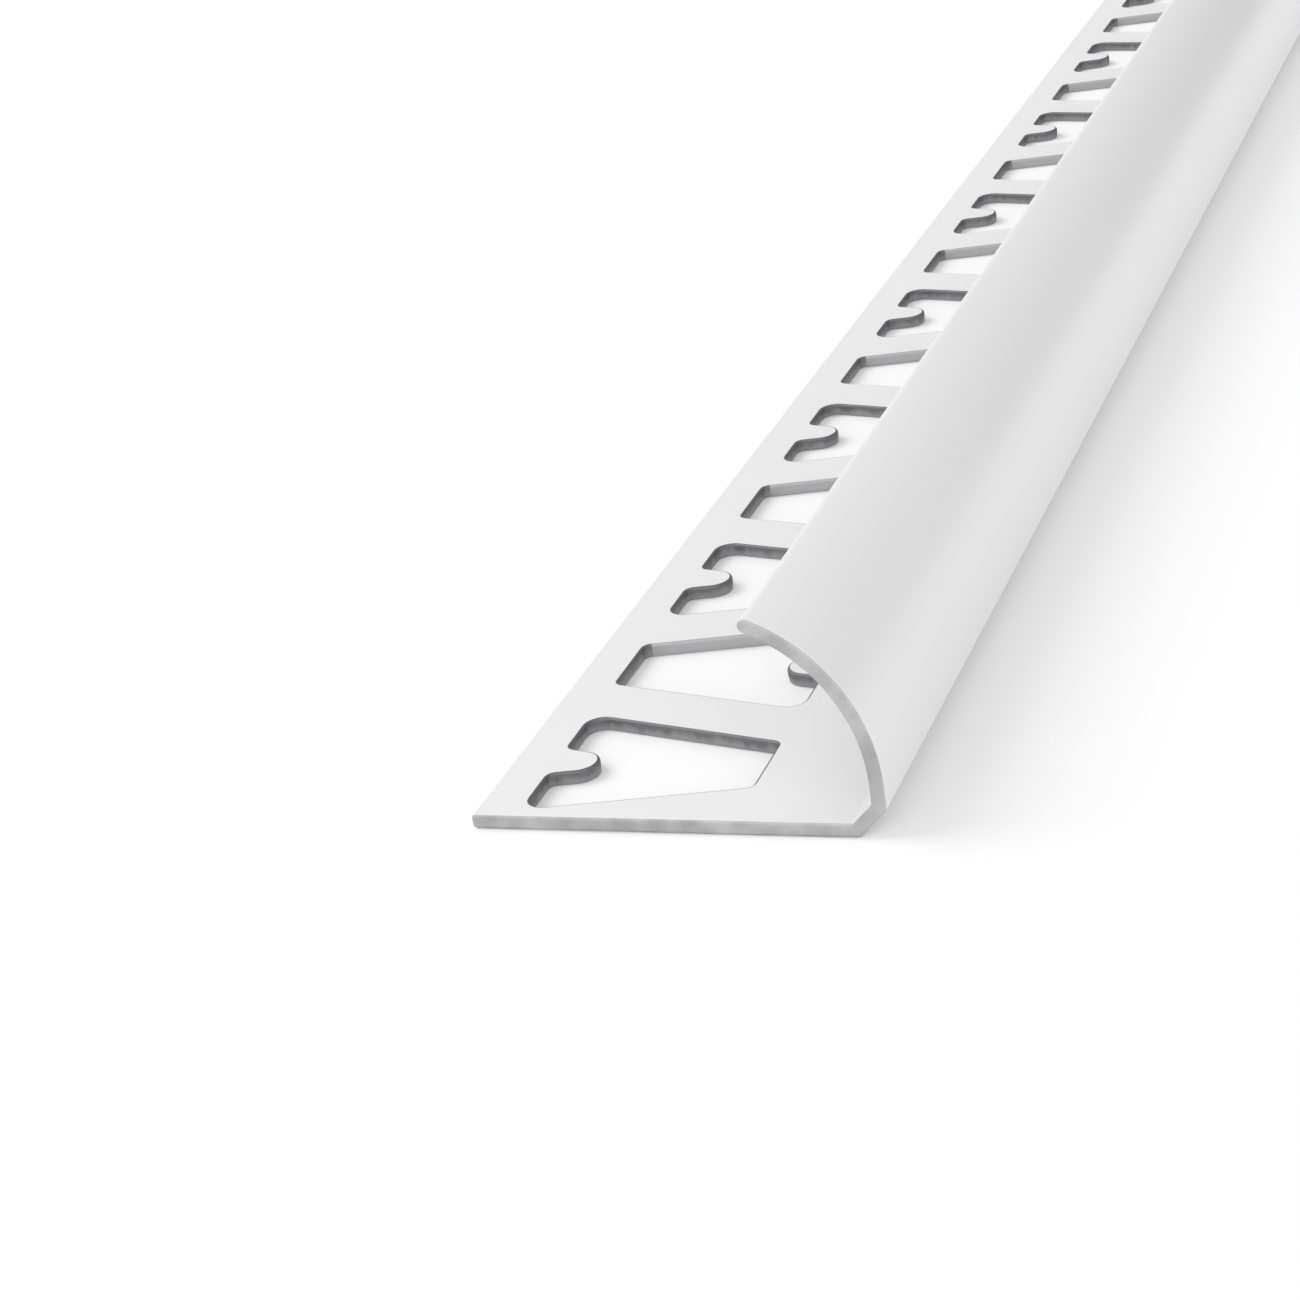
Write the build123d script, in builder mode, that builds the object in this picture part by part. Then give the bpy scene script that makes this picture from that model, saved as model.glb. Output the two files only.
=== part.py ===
import os
from math import floor, radians, sin, sqrt

from build123d import *

# Rounded tile edge trim: one length of thin stock, bedded on its punched flange.
# X runs across the trim from the flange's free edge to the round, Y along the length,
# and Z up from the bedding face. The origin is the middle of the bedding face.

# Stock
trim_length = 1000.0
trim_width = 23.6
trim_height = 12.5
flange_thickness = 0.8
round_thickness = 0.8

# Round edge, which turns through the lip angle above a straight wall, and heel
lip_angle = 66.8
round_centre_height = 3.1
heel_chamfer = 1.6
heel_corner_radius = 0.4
free_edge_radius = 0.2

# Punched anchoring holes, trapezoids that turn about from one to the next
hole_length = 12.2
hole_wide_end = 11.4
hole_narrow_end = 5.3
hole_corner_cut = 0.7
hole_free_edge_margin = 2.75
hole_pitch = 12.65
hole_end_margin = 0.8

# Round-tipped tongue left standing in each hole's wide end
tongue_base_width = 3.2
tongue_tip_radius = 1.3
tongue_reach = 2.4
tongue_root_radius = 0.5

# The punch passes this far through both faces of the flange
punch_overrun = 0.5

# Section: the lip ends in a half circle whose top is the trim's height
free_edge = -trim_width / 2
outer_face = trim_width / 2
lip_radius = round_thickness / 2
lip_path_radius = (trim_height - lip_radius - round_centre_height) / sin(radians(lip_angle))
round_radius = lip_path_radius + lip_radius
round_centre = (outer_face - round_radius, round_centre_height)
heel_inset = heel_chamfer + round_thickness * sqrt(2)

# Holes: the row starts and ends with a hole whose wide end is at the free edge
hole_row = free_edge + hole_free_edge_margin + hole_length / 2
wide_end = -hole_length / 2
punched_length = trim_length - 2 * hole_end_margin - hole_wide_end
hole_pairs = floor(punched_length / (2 * hole_pitch))

with BuildSketch() as tongue:
    with BuildLine():
        Line((wide_end, -tongue_base_width / 2), (wide_end, tongue_base_width / 2))
        CenterArc((wide_end + tongue_reach - tongue_tip_radius, 0), tongue_tip_radius, 0, 360)
    make_hull()

with BuildSketch() as anchor_hole:
    with BuildLine():
        Polyline(
            (wide_end, -hole_wide_end / 2),
            (hole_length / 2, -hole_narrow_end / 2),
            (hole_length / 2, hole_narrow_end / 2),
            (wide_end, hole_wide_end / 2),
            close=True,
        )
    make_face()
    chamfer(anchor_hole.vertices().group_by(Axis.X)[0], hole_corner_cut)
    add(tongue.sketch, mode=Mode.SUBTRACT)
    tongue_roots = anchor_hole.vertices().group_by(Axis.X)[0].sort_by(Axis.Y)[1:-1]
    fillet(tongue_roots, tongue_root_radius)

with BuildPart() as tile_trim:
    with BuildSketch(Plane.XZ) as section:
        with BuildLine():
            outer_round = CenterArc(round_centre, round_radius, 0, lip_angle)
            lip_path = CenterArc(round_centre, lip_path_radius, 0, lip_angle, mode=Mode.PRIVATE)
            CenterArc(lip_path @ 1, lip_radius, lip_angle, 180)
            inner_round = CenterArc(round_centre, round_radius - round_thickness, lip_angle, -lip_angle)
            Polyline(
                inner_round @ 1,
                (outer_face - round_thickness, heel_inset - round_thickness),
                (outer_face - heel_inset + flange_thickness, flange_thickness),
                (free_edge, flange_thickness),
                (free_edge, 0),
                (outer_face - heel_chamfer, 0),
                (outer_face, heel_chamfer),
                outer_round @ 0,
            )
        make_face()
        fillet(section.vertices().group_by(Axis.X)[0], free_edge_radius)
        heel_corners = section.vertices().filter_by(
            lambda corner: corner.X > outer_face - heel_inset and corner.Y < heel_inset
        )
        fillet(heel_corners, heel_corner_radius)
    extrude(amount=trim_length / 2, both=True)
    with BuildSketch(Plane.XY.offset(-punch_overrun)):
        with Locations((hole_row, 0)):
            with GridLocations(0, 2 * hole_pitch, 1, hole_pairs + 1):
                add(anchor_hole.sketch)
            with GridLocations(0, 2 * hole_pitch, 1, hole_pairs):
                add(anchor_hole.sketch, rotation=180)
    extrude(amount=flange_thickness + 2 * punch_overrun, mode=Mode.SUBTRACT)

tile_trim.part.label = "tile_trim"

os.makedirs("parts", exist_ok=True)
export_step(tile_trim.part, "parts/tile_trim.step")
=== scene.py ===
from math import acos, atan2, cos, pi, radians, sin, sqrt, tan

import bmesh
import bpy
from mathutils import Matrix, Vector
from mathutils.geometry import tessellate_polygon


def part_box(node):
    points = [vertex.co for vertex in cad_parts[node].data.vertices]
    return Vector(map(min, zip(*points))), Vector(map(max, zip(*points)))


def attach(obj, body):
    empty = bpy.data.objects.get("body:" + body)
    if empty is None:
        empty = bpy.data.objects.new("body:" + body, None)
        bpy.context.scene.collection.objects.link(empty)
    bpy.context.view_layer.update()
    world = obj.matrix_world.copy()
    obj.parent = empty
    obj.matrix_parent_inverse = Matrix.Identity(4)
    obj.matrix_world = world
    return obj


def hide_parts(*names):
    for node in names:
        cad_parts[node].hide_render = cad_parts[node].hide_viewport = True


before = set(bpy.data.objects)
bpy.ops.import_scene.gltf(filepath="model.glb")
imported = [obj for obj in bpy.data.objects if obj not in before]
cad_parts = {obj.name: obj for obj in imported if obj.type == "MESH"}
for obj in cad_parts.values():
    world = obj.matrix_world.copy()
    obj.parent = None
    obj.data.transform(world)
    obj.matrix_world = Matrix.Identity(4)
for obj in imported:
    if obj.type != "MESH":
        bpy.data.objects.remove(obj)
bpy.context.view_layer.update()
scene = bpy.context.scene
scene.view_settings.view_transform = "Standard"
mm = 0.001


def linearColour(hexCode):
    channels = [int(hexCode[i:i + 2], 16) / 255 for i in (1, 3, 5)]
    return [c / 12.92 if c <= 0.04045 else ((c + 0.055) / 1.055) ** 2.4 for c in channels] + [1.0]


def addNode(tree, kind, inputs=None, **settings):
    node = tree.nodes.new("ShaderNode" + kind)
    for name, value in settings.items():
        setattr(node, name, value)
    for name, value in (inputs or {}).items():
        if isinstance(value, bpy.types.NodeSocket):
            tree.links.new(value, node.inputs[name])
        else:
            node.inputs[name].default_value = value
    return node


def newMaterial(name):
    material = bpy.data.materials.new(name)
    material.use_nodes = True
    return material, material.node_tree, material.node_tree.nodes["Principled BSDF"]


# Polyester powder coat, sprayed dry and baked on aluminium.
# To the eye it is a satin white skin, with a faint orange peel and the die's lines showing through.
# In the channel under the round the colour is painted greyer, more so deeper in: painted shade.
coat = {
    "white": "#e6e6e6",
    "shade": "#e3e3e3",
    "cloudSpacing": 14.0,          # mm, uneven thickness of the skin
    "cloudDetail": 3.0,
    # the grey of the painted shade under the round
    "thin": "#dadada",
    "thinFrom": (4.0, 10.5),       # mm across, from no painted shade to the fullest
    "roundAxis": (1.6, 0.0, 3.1),  # mm, the channel's faces look towards it
    "insideBlend": 0.5,            # mm
    "roughness": (0.28, 0.33),
    "ior": 1.5,
    "peelSpacing": 1.1,            # mm, orange peel
    "peelDetail": 2.0,
    "peelHeight": 0.0008,          # mm
    "dieLineSpacing": 0.5,         # mm across, coarser than the real 0.1 so that the lines show
    "dieLineStretch": 250.0,       # how many times longer than wide
    "dieLineDetail": 3.0,
    "dieLineHeight": 0.0006,       # mm
}


def powderCoat():
    material, tree, shader = newMaterial("powderCoatedAluminium")
    place = addNode(tree, "TexCoord").outputs["Object"]
    peel = addNode(tree, "TexNoise", {
        "Vector": place, "Scale": 1 / (coat["peelSpacing"] * mm), "Detail": coat["peelDetail"]})
    drawn = addNode(tree, "Mapping", {"Vector": place, "Scale": (1.0, 1 / coat["dieLineStretch"], 1.0)})
    dieLines = addNode(tree, "TexNoise", {
        "Vector": drawn.outputs["Vector"],
        "Scale": 1 / (coat["dieLineSpacing"] * mm), "Detail": coat["dieLineDetail"]})
    cloud = addNode(tree, "TexNoise", {
        "Vector": place, "Scale": 1 / (coat["cloudSpacing"] * mm), "Detail": coat["cloudDetail"]})
    clouded = addNode(tree, "Mix", {
        "Factor": cloud.outputs["Fac"],
        "A": linearColour(coat["white"]), "B": linearColour(coat["shade"])}, data_type="RGBA")

    # the painted shade goes on faces that look towards the round's axis, whatever their place along the
    # length
    across = addNode(tree, "VectorMath", {0: place, 1: (1.0, 0.0, 1.0)}, operation="MULTIPLY")
    inward = addNode(tree, "VectorMath", {
        0: [c * mm for c in coat["roundAxis"]], 1: across.outputs["Vector"]}, operation="SUBTRACT")
    normal = addNode(tree, "NewGeometry").outputs["Normal"]
    facing = addNode(tree, "VectorMath", {0: inward.outputs["Vector"], 1: normal}, operation="DOT_PRODUCT")
    inside = addNode(tree, "MapRange", {
        "Value": facing.outputs["Value"], "From Max": coat["insideBlend"] * mm})
    depth = addNode(tree, "MapRange", {
        "Value": addNode(tree, "SeparateXYZ", {"Vector": place}).outputs["X"],
        "From Min": coat["thinFrom"][0] * mm, "From Max": coat["thinFrom"][1] * mm},
        interpolation_type="SMOOTHSTEP")
    # painted shade: how much a face looks at the round, times how deep it lies in the channel
    thinness = addNode(tree, "Math", {
        0: inside.outputs["Result"], 1: depth.outputs["Result"]}, operation="MULTIPLY")
    tint = addNode(tree, "Mix", {
        "Factor": thinness.outputs["Value"],
        "A": clouded.outputs["Result"], "B": linearColour(coat["thin"])}, data_type="RGBA")

    gloss = addNode(tree, "MapRange", {
        "Value": peel.outputs["Fac"],
        "To Min": coat["roughness"][0], "To Max": coat["roughness"][1]})
    lines = addNode(tree, "Bump", {
        "Height": dieLines.outputs["Fac"], "Distance": coat["dieLineHeight"] * mm})
    skin = addNode(tree, "Bump", {
        "Height": peel.outputs["Fac"], "Distance": coat["peelHeight"] * mm,
        "Normal": lines.outputs["Normal"]})
    tree.links.new(tint.outputs["Result"], shader.inputs["Base Color"])
    tree.links.new(gloss.outputs["Result"], shader.inputs["Roughness"])
    tree.links.new(skin.outputs["Normal"], shader.inputs["Normal"])
    shader.inputs["IOR"].default_value = coat["ior"]
    return material


# Bare aluminium, cut across by a fine circular saw that smears the metal.
# To the eye it is a dull grey face, cloudy where the metal was smeared, with close and faint tooth marks.
sawn = {
    "light": "#c2c2c3",
    "dark": "#aeaeaf",
    "smearSpacing": 1.8,           # mm
    "smearDetail": 3.0,
    "smearRange": (0.38, 0.64),    # of the noise, light to dark
    "roughness": (0.6, 0.7),
    "toothSpacing": 0.16,          # mm, coarser than the real 0.05 so that the marks show
    "toothHeight": 0.0003,         # mm
    "slant": 24.0,                 # degrees, the marks' lean from upright
    "waver": 2.5,                  # how far the marks wander
    "waverDetail": 3.0,
    "waverScale": 1.4,
}


def sawnAluminium():
    material, tree, shader = newMaterial("sawnAluminium")
    place = addNode(tree, "TexCoord").outputs["Object"]
    turned = addNode(tree, "Mapping", {"Vector": place, "Rotation": (0.0, radians(sawn["slant"]), 0.0)})
    waveBand = pi / 10             # width of a wave texture's band at scale 1
    marks = addNode(tree, "TexWave", {
        "Vector": turned.outputs["Vector"], "Scale": waveBand / (sawn["toothSpacing"] * mm),
        "Distortion": sawn["waver"], "Detail": sawn["waverDetail"], "Detail Scale": sawn["waverScale"]},
        bands_direction="X")
    smear = addNode(tree, "TexNoise", {
        "Vector": place, "Scale": 1 / (sawn["smearSpacing"] * mm), "Detail": sawn["smearDetail"]})
    cloudy = addNode(tree, "MapRange", {
        "Value": smear.outputs["Fac"],
        "From Min": sawn["smearRange"][0], "From Max": sawn["smearRange"][1]})
    tint = addNode(tree, "Mix", {
        "Factor": cloudy.outputs["Result"],
        "A": linearColour(sawn["light"]), "B": linearColour(sawn["dark"])}, data_type="RGBA")
    gloss = addNode(tree, "MapRange", {
        "Value": marks.outputs["Fac"],
        "To Min": sawn["roughness"][0], "To Max": sawn["roughness"][1]})
    grooves = addNode(tree, "Bump", {
        "Height": marks.outputs["Fac"], "Distance": sawn["toothHeight"] * mm})
    tree.links.new(tint.outputs["Result"], shader.inputs["Base Color"])
    tree.links.new(gloss.outputs["Result"], shader.inputs["Roughness"])
    tree.links.new(grooves.outputs["Normal"], shader.inputs["Normal"])
    shader.inputs["Metallic"].default_value = 1.0
    return material


# Bare aluminium, sheared by the punch.
# To the eye the wall is dark and ragged, rubbed above and torn below.
# The paler, even copy is painted light, for the slanted sides of every second hole, which face front and
# right.
punched = {
    "worn": {
        "rubbed": "#7b7b7d",
        "torn": "#a6a6a8",
        "roughness": (0.56, 0.68),
        "tearHeight": 0.03,        # mm
        "rag": 0.5,                # mm, how far the edge of the torn part wanders
    },
    # a paler copy of the wall: painted light
    "paintedLit": {
        "rubbed": "#b7b7b9",
        "torn": "#bdbdbf",
        "roughness": (0.58, 0.66),
        "tearHeight": 0.012,
        "rag": 0.2,
    },
    "tearSpacing": 0.7,            # mm along the wall, coarser than the real 0.2 so that the tears show
    "tearUpright": 0.35,           # below 1 draws the tears out upright
    "tearDetail": 4.0,
    "breakHeight": 0.36,           # mm above the bedding face, where rubbed turns to torn
    "breakBlend": 0.2,             # mm
}


def punchedAluminium(punch):
    material, tree, shader = newMaterial("punchedAluminium_" + punch)
    look = punched[punch]
    place = addNode(tree, "TexCoord").outputs["Object"]
    upright = addNode(tree, "Mapping", {"Vector": place, "Scale": (1.0, 1.0, punched["tearUpright"])})
    tears = addNode(tree, "TexNoise", {
        "Vector": upright.outputs["Vector"],
        "Scale": 1 / (punched["tearSpacing"] * mm), "Detail": punched["tearDetail"]})
    height = addNode(tree, "SeparateXYZ", {"Vector": place}).outputs["Z"]
    ragged = addNode(tree, "MapRange", {
        "Value": tears.outputs["Fac"], "To Min": -look["rag"] * mm, "To Max": look["rag"] * mm})
    edge = addNode(tree, "Math", {0: height, 1: ragged.outputs["Result"]}, operation="ADD")
    broken = addNode(tree, "MapRange", {
        "Value": edge.outputs["Value"],
        "From Min": (punched["breakHeight"] + punched["breakBlend"]) * mm,
        "From Max": (punched["breakHeight"] - punched["breakBlend"]) * mm})
    tint = addNode(tree, "Mix", {
        "Factor": broken.outputs["Result"],
        "A": linearColour(look["rubbed"]), "B": linearColour(look["torn"])}, data_type="RGBA")
    gloss = addNode(tree, "MapRange", {
        "Value": broken.outputs["Result"],
        "To Min": look["roughness"][0], "To Max": look["roughness"][1]})
    grain = addNode(tree, "Bump", {
        "Height": tears.outputs["Fac"], "Distance": look["tearHeight"] * mm,
        "Strength": broken.outputs["Result"]})
    tree.links.new(tint.outputs["Result"], shader.inputs["Base Color"])
    tree.links.new(gloss.outputs["Result"], shader.inputs["Roughness"])
    tree.links.new(grain.outputs["Normal"], shader.inputs["Normal"])
    shader.inputs["Metallic"].default_value = 1.0
    return material


finishes = [powderCoat(), sawnAluminium(), punchedAluminium("worn"), punchedAluminium("paintedLit")]
coated, cutEnd, wornWall, paintedLitWall = range(len(finishes))
print("materials:", [material.name for material in finishes])


# Outlines are counterclockwise lists of 2-D points in mm.
def arc(centre, radius, first, turn, steps):
    angles = [first + turn * i / steps for i in range(steps + 1)]
    return [centre + radius * Vector((cos(a), sin(a))) for a in angles]


def roundCorner(before, corner, after, radius, steps):
    toBefore = (before - corner).normalized()
    toAfter = (after - corner).normalized()
    half = toBefore.angle(toAfter) / 2
    centre = corner + (toBefore + toAfter).normalized() * (radius / sin(half))
    start = corner + toBefore * (radius / tan(half)) - centre
    end = corner + toAfter * (radius / tan(half)) - centre
    first = atan2(start.y, start.x)
    turn = (atan2(end.y, end.x) - first + pi) % (2 * pi) - pi
    return arc(centre, radius, first, turn, steps)


def grown(outline, distance):
    moved = []
    for i, point in enumerate(outline):
        along = (outline[(i + 1) % len(outline)] - outline[i - 1]).normalized()
        moved.append(point + distance * Vector((along.y, -along.x)))
    return moved


stock = {                          # mm and degrees
    "wall": 0.8,
    "lipAngle": 66.8,
    "roundCentreHeight": 3.1,
    "heelChamfer": 1.6,
    "heelRadius": 0.4,
    "freeEdgeRadius": 0.2,
    "endRounding": 0.15,           # sawn ends, deburred
    "sharpAngle": 35.0,            # edges that turn more than this stay crisp
    "roundSteps": 44,
    "lipSteps": 14,
    "cornerSteps": 5,
    "endSteps": 4,
}
hole = {                           # mm
    "length": 12.2,
    "wideEnd": 11.4,
    "narrowEnd": 5.3,
    "wideRadius": 0.95,
    "narrowRadius": 0.5,
    "freeEdgeMargin": 2.75,
    "pitch": 12.65,
    "count": 79,
    "tongueBase": 3.2,
    "tongueReach": 2.4,
    "tongueTipRadius": 1.3,
    "tongueRootRadius": 0.5,
    "rim": 0.06,                   # flat band round the roll, which keeps the flange's shading even
    "rollRadius": 0.16,            # top edge drawn down by the punch
    "breakFlare": 0.05,            # the torn part leans out below
    "cornerSteps": 7,
    "tipSteps": 16,
    "rollSteps": 4,
}


def sectionOutline(low, high):
    wall, steps = stock["wall"], stock["cornerSteps"]
    lipRadius, lipAngle = wall / 2, radians(stock["lipAngle"])
    pathRadius = (high.z / mm - lipRadius - stock["roundCentreHeight"]) / sin(lipAngle)
    freeEdge, outerFace = low.x / mm, high.x / mm
    centre = Vector((outerFace - pathRadius - lipRadius, stock["roundCentreHeight"]))
    lipCentre = centre + pathRadius * Vector((cos(lipAngle), sin(lipAngle)))
    heelInset = stock["heelChamfer"] + wall * sqrt(2)
    # corners and their radii, from the inner round, by the flange, to the outer round
    path = [
        (Vector((outerFace - wall, centre.y)), 0),
        (Vector((outerFace - wall, heelInset - wall)), stock["heelRadius"]),
        (Vector((outerFace - heelInset + wall, wall)), stock["heelRadius"]),
        (Vector((freeEdge, wall)), stock["freeEdgeRadius"]),
        (Vector((freeEdge, 0)), stock["freeEdgeRadius"]),
        (Vector((outerFace - stock["heelChamfer"], 0)), stock["heelRadius"]),
        (Vector((outerFace, stock["heelChamfer"])), stock["heelRadius"]),
        (Vector((outerFace, centre.y)), 0),
    ]
    outline = []
    for (before, _), (corner, radius), (after, _) in zip(path, path[1:], path[2:]):
        outline += roundCorner(before, corner, after, radius, steps)
    flangeTop = 2 * (steps + 1) - 1          # the last point before each flat of the flange
    flangeUnder = 4 * (steps + 1) - 1
    outline += arc(centre, pathRadius + lipRadius, 0, lipAngle, stock["roundSteps"])
    outline += arc(lipCentre, lipRadius, lipAngle, pi, stock["lipSteps"])[1:]
    outline += arc(centre, pathRadius - lipRadius, lipAngle, -lipAngle, stock["roundSteps"])[1:]
    return outline, flangeTop, flangeUnder


def holeOutline():
    end, steps = hole["length"] / 2, hole["cornerSteps"]
    wideHigh = Vector((-end, hole["wideEnd"] / 2))
    narrowHigh = Vector((end, hole["narrowEnd"] / 2))
    rootHigh = Vector((-end, hole["tongueBase"] / 2))
    wideLow, narrowLow, rootLow = (Vector((p.x, -p.y)) for p in (wideHigh, narrowHigh, rootHigh))
    tip = Vector((-end + hole["tongueReach"] - hole["tongueTipRadius"], 0))
    toRoot = rootHigh - tip
    # where the tongue's side meets its round tip
    flank = atan2(toRoot.y, toRoot.x) - acos(hole["tongueTipRadius"] / toRoot.length)
    nose = arc(tip, hole["tongueTipRadius"], flank, -2 * flank, hole["tipSteps"])
    return (
        roundCorner(rootLow, wideLow, narrowLow, hole["wideRadius"], steps)
        + roundCorner(wideLow, narrowLow, narrowHigh, hole["narrowRadius"], steps)
        + roundCorner(narrowLow, narrowHigh, wideHigh, hole["narrowRadius"], steps)
        + roundCorner(narrowHigh, wideHigh, rootHigh, hole["wideRadius"], steps)
        + roundCorner(wideHigh, rootHigh, nose[0], hole["tongueRootRadius"], steps)
        + nose
        + roundCorner(nose[-1], rootLow, wideLow, hole["tongueRootRadius"], steps)
    )


vertices, faces, faceFinish = [], [], []


def addRing(points):
    vertices.extend(points)
    return list(range(len(vertices) - len(points), len(vertices)))


def addFace(corners, finish):
    faces.append(corners)
    faceFinish.append(finish)


# The strips that start from the points in apart get their own finish, or stay open if that is None.
def bridge(ringA, ringB, finish, apart=(), apartFinish=None):
    for i in range(len(ringA)):
        j = (i + 1) % len(ringA)
        stripFinish = apartFinish if i in apart else finish
        if stripFinish is not None:
            addFace((ringA[i], ringB[i], ringB[j], ringA[j]), stripFinish)


def fillAround(border, ring, finish):
    loops = [[vertices[i] for i in border], [vertices[i] for i in ring]]
    indices = border + ring
    for triangle in tessellate_polygon(loops):
        addFace(tuple(indices[i] for i in triangle), finish)


# One ring at each end and one between every two holes. The flange's flats stay open for the holes.
def layStock(outline, flats, halfLength, firstHole):
    stations = [-halfLength + stock["endRounding"]]
    stations += [firstHole + (i + 0.5) * hole["pitch"] for i in range(hole["count"] - 1)]
    stations += [halfLength - stock["endRounding"]]
    rings = [addRing([(p.x, y, p.y) for p in outline]) for y in stations]
    for ringA, ringB in zip(rings, rings[1:]):
        bridge(ringA, ringB, coated, flats)
    return rings


def punchHoles(rings, flats, row, firstHole):
    # growth and height, from the drawn-down top edge to the torn bottom edge
    roll, wall = hole["rollRadius"], stock["wall"]
    turns = [pi / 2 * i / hole["rollSteps"] for i in range(hole["rollSteps"] + 1)]
    wallProfile = [(roll + hole["rim"], wall)]
    wallProfile += [(roll * (1 - sin(a)), wall - roll * (1 - cos(a))) for a in turns]
    wallProfile += [(0, punched["breakHeight"]), (hole["breakFlare"], 0)]
    punchOutline = holeOutline()
    slantedSides = (hole["cornerSteps"], 3 * hole["cornerSteps"] + 2)    # the points that they start from
    for i in range(hole["count"]):
        facing = 1 if i % 2 == 0 else -1     # every second hole is turned about
        middle = firstHole + i * hole["pitch"]
        wallRings = []
        for growth, height in wallProfile:
            points = grown(punchOutline, growth)
            wallRings.append(addRing([(row + facing * p.x, middle + facing * p.y, height) for p in points]))
        bridge(wallRings[0], wallRings[1], coated)
        for ringA, ringB in zip(wallRings[1:], wallRings[2:]):
            # the slanted sides of every second hole get the paler copy: painted light
            bridge(ringA, ringB, wornWall, slantedSides, wornWall if facing > 0 else paintedLitWall)
        near, far = rings[i], rings[i + 1]
        for flat, ring in zip(flats, (wallRings[0], wallRings[-1])):
            fillAround([near[flat], near[flat + 1], far[flat + 1], far[flat]], ring, coated)


def sawEnds(rings, outline, halfLength):
    rounding, steps = stock["endRounding"], stock["endSteps"]
    for side, ring in ((-1, rings[0]), (1, rings[-1])):
        for i in range(1, steps + 1):
            a = pi / 2 * i / steps
            y = side * (halfLength - rounding * (1 - sin(a)))
            inner = addRing([(p.x, y, p.y) for p in grown(outline, -rounding * (1 - cos(a)))])
            bridge(ring, inner, coated if i == 1 else cutEnd)            # the coat wraps over the edge
            ring = inner
        addFace(tuple(ring), cutEnd)


def buildTrim():
    low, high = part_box("tile_trim")
    outline, flangeTop, flangeUnder = sectionOutline(low, high)
    flats = (flangeTop, flangeUnder)
    halfLength = high.y / mm
    firstHole = -(hole["count"] - 1) / 2 * hole["pitch"]
    row = low.x / mm + hole["freeEdgeMargin"] + hole["length"] / 2
    rings = layStock(outline, flats, halfLength, firstHole)
    punchHoles(rings, flats, row, firstHole)
    sawEnds(rings, outline, halfLength)

    mesh = bpy.data.meshes.new("edge_trim")
    mesh.from_pydata([Vector(v) * mm for v in vertices], [], faces)
    for material in finishes:
        mesh.materials.append(material)
    mesh.polygons.foreach_set("material_index", faceFinish)
    work = bmesh.new()
    work.from_mesh(mesh)
    bmesh.ops.recalc_face_normals(work, faces=work.faces)
    work.to_mesh(mesh)
    work.free()
    mesh.shade_smooth()
    mesh.set_sharp_from_angle(angle=radians(stock["sharpAngle"]))
    trim = bpy.data.objects.new("edge_trim", mesh)
    scene.collection.objects.link(trim)
    trim.modifiers.new("flatsStayFlat", "WEIGHTED_NORMAL").keep_sharp = True
    return trim


trim = buildTrim()
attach(trim, "root")
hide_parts("tile_trim")
print("trim:", len(trim.data.vertices), "vertices,", len(trim.data.polygons), "faces")


# Behind the trim the studio is dim near the floor, which gives the round its darker band.
stageLook = {
    "white": "#ffffff",
    "floorSize": 40.0,             # m
    "floorDrop": 0.00005,          # m, so that it never lies in the bedding face
    "floorColour": "#efefef",
    "floorRoughness": 0.9,
    "floorGlow": 0.055,            # lifts the lit floor to white where it is seen
    "skyLevel": 0.71,
    "dimLevel": 0.02,
    "dimTowards": (0.643, 0.766, 0.0),
    "dimSpread": (0.6, 0.9),       # cosine from that direction, none to full
    "dimHeight": (0.05, 0.65),     # sine of the elevation, full to none
}


def seenDirectly(tree):
    path = addNode(tree, "LightPath")
    seen = addNode(tree, "Math", {
        0: path.outputs["Is Camera Ray"], 1: path.outputs["Is Glossy Ray"]}, operation="MAXIMUM")
    seen = addNode(tree, "Math", {
        0: seen.outputs["Value"], 1: path.outputs["Is Transmission Ray"]}, operation="MAXIMUM")
    return seen.outputs["Value"]


def buildFloor():
    half, drop = stageLook["floorSize"] / 2, stageLook["floorDrop"]
    corners = [(-half, -half, -drop), (half, -half, -drop), (half, half, -drop), (-half, half, -drop)]
    mesh = bpy.data.meshes.new("floor")
    mesh.from_pydata(corners, [], [(0, 1, 2, 3)])
    floor = bpy.data.objects.new("floor", mesh)
    scene.collection.objects.link(floor)
    material, tree, shader = newMaterial("paperSweep")
    shader.inputs["Base Color"].default_value = linearColour(stageLook["floorColour"])
    shader.inputs["Roughness"].default_value = stageLook["floorRoughness"]
    shader.inputs["Specular IOR Level"].default_value = 0.0
    shader.inputs["Emission Color"].default_value = linearColour(stageLook["white"])
    glow = addNode(tree, "Math", {0: seenDirectly(tree), 1: stageLook["floorGlow"]}, operation="MULTIPLY")
    tree.links.new(glow.outputs["Value"], shader.inputs["Emission Strength"])
    mesh.materials.append(material)


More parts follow.
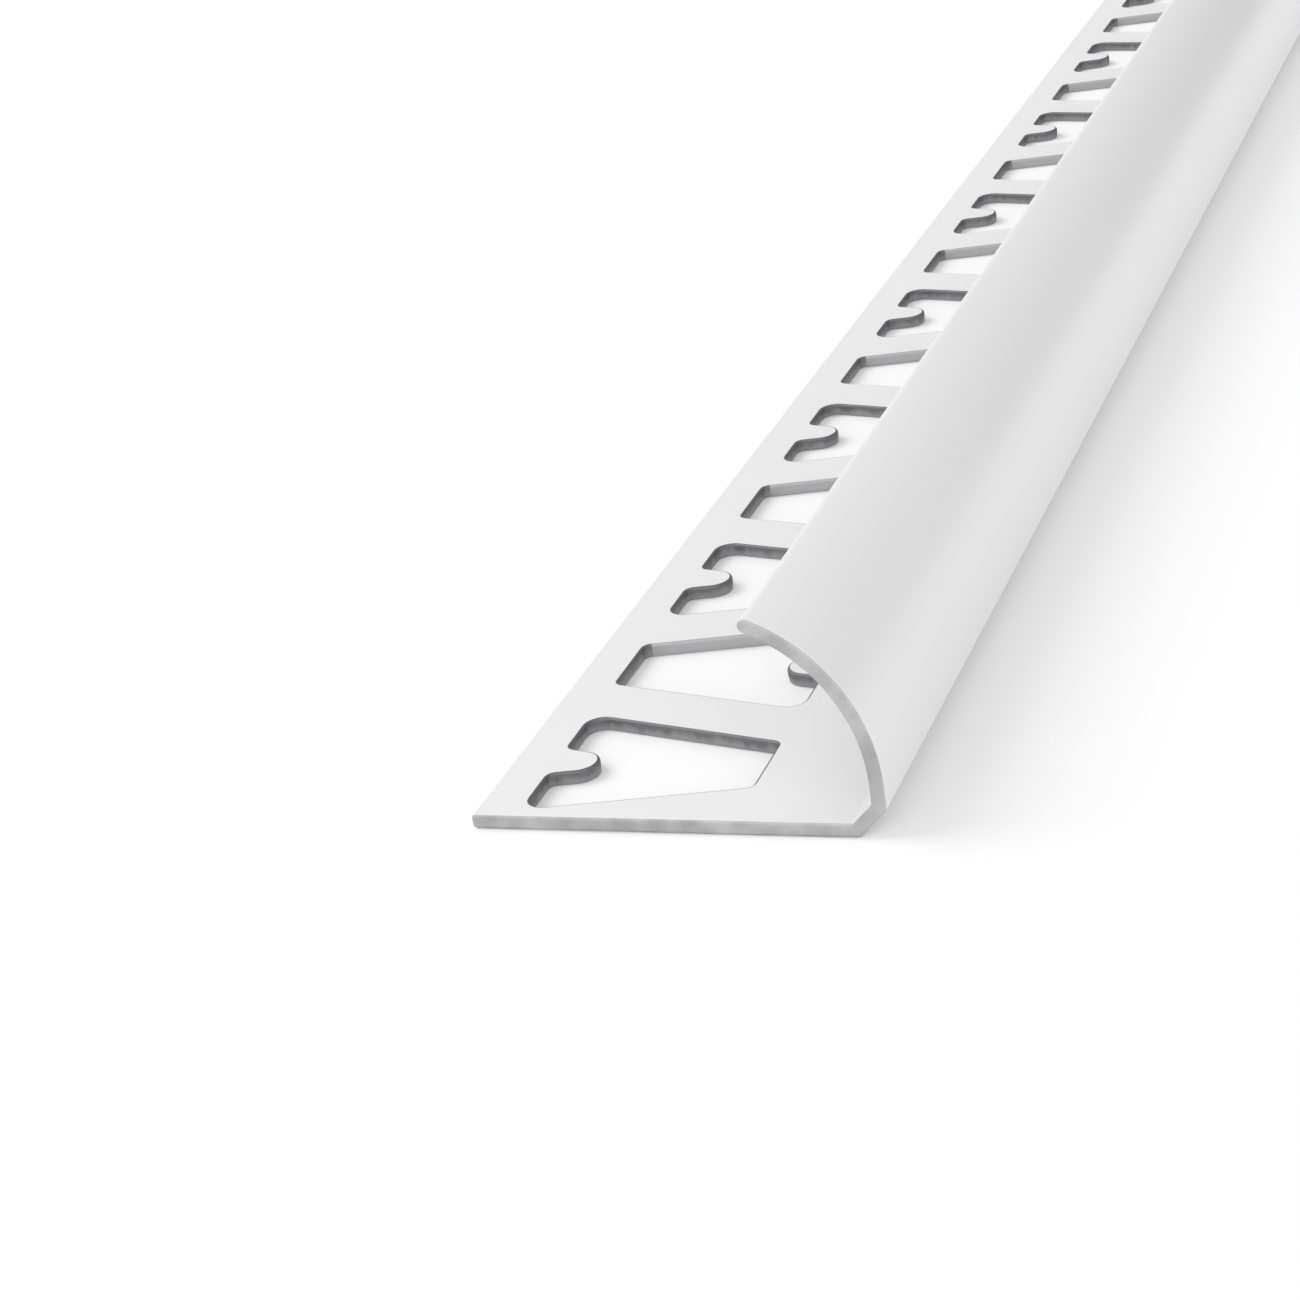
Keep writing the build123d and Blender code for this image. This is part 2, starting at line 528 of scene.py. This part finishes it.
def buildSky():
    world = bpy.data.worlds.new("studio")
    world.use_nodes = True
    scene.world = world
    tree = world.node_tree
    towards = addNode(tree, "TexCoord").outputs["Generated"]
    height = addNode(tree, "SeparateXYZ", {"Vector": towards}).outputs["Z"]
    behind = addNode(tree, "VectorMath", {0: towards, 1: stageLook["dimTowards"]}, operation="DOT_PRODUCT")
    low = addNode(tree, "MapRange", {
        "Value": height,
        "From Min": stageLook["dimHeight"][0], "From Max": stageLook["dimHeight"][1],
        "To Min": 1.0, "To Max": 0.0}, interpolation_type="SMOOTHSTEP")
    far = addNode(tree, "MapRange", {
        "Value": behind.outputs["Value"],
        "From Min": stageLook["dimSpread"][0], "From Max": stageLook["dimSpread"][1]},
        interpolation_type="SMOOTHSTEP")
    dim = addNode(tree, "Math", {0: low.outputs["Result"], 1: far.outputs["Result"]}, operation="MULTIPLY")
    level = addNode(tree, "MapRange", {
        "Value": dim.outputs["Value"],
        "To Min": stageLook["skyLevel"], "To Max": stageLook["dimLevel"]})
    background = tree.nodes["Background"]
    background.inputs["Color"].default_value = linearColour(stageLook["white"])
    tree.links.new(level.outputs["Result"], background.inputs["Strength"])


lamps = {                          # direction towards the lamp, sun strength, soft angle in degrees
    "frontSoftbox": ((0.2, -0.92, 0.34), 1.35, 90),
    "leftSoftbox": ((-0.7, 0.0, 0.714), 1.1, 40),
    "rightSoftbox": ((0.996, 0.0, 0.087), 0.5, 20),
}


def buildLamps():
    for name, (towards, strength, softness) in lamps.items():
        light = bpy.data.lights.new(name, "SUN")
        light.energy = strength
        light.angle = radians(softness)
        lamp = bpy.data.objects.new(name, light)
        lamp.rotation_mode = "QUATERNION"
        lamp.rotation_quaternion = Vector(towards).to_track_quat("Z", "Y")
        scene.collection.objects.link(lamp)


view = {
    "aim": (-9.21, -477.01, 0.0),  # mm, where the view axis meets the floor
    "distance": 185.68,            # mm
    "azimuth": 22.198,             # degrees
    "elevation": 23.502,
    "roll": -9.077,
    "lens": 84.68,                 # mm
    "sensor": 36.0,                # mm
    "clip": (0.01, 20.0),          # m, nearest and farthest
}


def buildCamera():
    data = bpy.data.cameras.new("camera")
    data.lens = view["lens"]
    data.sensor_width = view["sensor"]
    data.clip_start, data.clip_end = view["clip"]
    camera = bpy.data.objects.new("camera", data)
    scene.collection.objects.link(camera)
    azimuth, elevation = radians(view["azimuth"]), radians(view["elevation"])
    back = Vector((sin(azimuth) * cos(elevation), -cos(azimuth) * cos(elevation), sin(elevation)))
    place = Matrix.Translation((Vector(view["aim"]) + view["distance"] * back) * mm)
    level = (-back).to_track_quat("-Z", "Y").to_matrix().to_4x4()
    camera.matrix_world = place @ level @ Matrix.Rotation(radians(view["roll"]), 4, "Z")
    scene.camera = camera


buildFloor()
buildSky()
buildLamps()
buildCamera()
print("stage, lamps and camera set")
